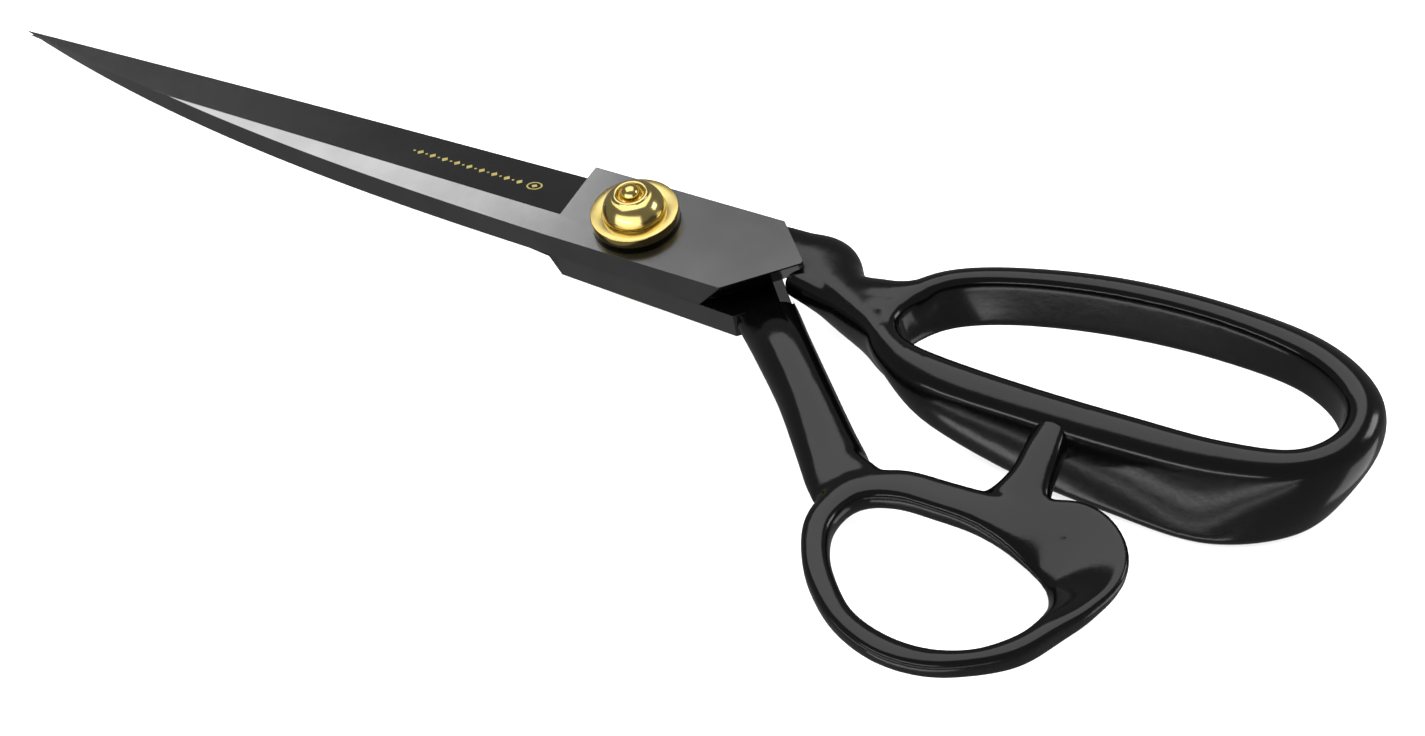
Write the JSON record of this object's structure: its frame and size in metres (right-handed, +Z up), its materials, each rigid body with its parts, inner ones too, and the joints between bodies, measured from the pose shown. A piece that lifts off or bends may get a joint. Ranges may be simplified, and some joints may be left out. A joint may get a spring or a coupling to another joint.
{
  "type": "fabric shears",
  "caption": "Bent-handle fabric shears: two bevelled steel blades on a screw pivot with a dome nut, a long finger bow and a dished thumb bow.",
  "frame": {"origin": "on the pivot axis, on the surface that the closed shears lie on, under the screw head", "axes": "-X along the blades to the points, +X towards the handles, +Z up along the pivot axis to the nut, -Y towards the thumb bow"},
  "size_m": [0.254, 0.0729, 0.0207],
  "materials": {
    "blade_steel": "dark satin, fine grained",
    "black_enamel": "gloss black enamel on cast metal",
    "dark_steel": "blackened",
    "washer_steel": "satin",
    "polished_brass": "polished"
  },
  "bodies": {
    "thumb_half": {"lower_blade": "blade_steel", "thumb_handle": "black_enamel", "pivot_screw": "polished_brass", "head_washer": "washer_steel", "friction_washer": "dark_steel", "nut_washer": "polished_brass"},
    "finger_half": {"upper_blade": "blade_steel", "finger_handle": "black_enamel"},
    "tension_nut": {"pivot_nut": "polished_brass"}
  },
  "joints": [
    {"name": "pivot", "type": "hinge", "parent": "thumb_half", "child": "finger_half", "pos_m": [0, 0, 0.009], "axis": [0, 0, 1], "range_deg": [0, 38]},
    {"name": "tension_adjust", "type": "hinge", "parent": "thumb_half", "child": "tension_nut", "pos_m": [0, 0, 0.016], "axis": [0, 0, 1], "range_deg": [-45, 45]}
  ]
}
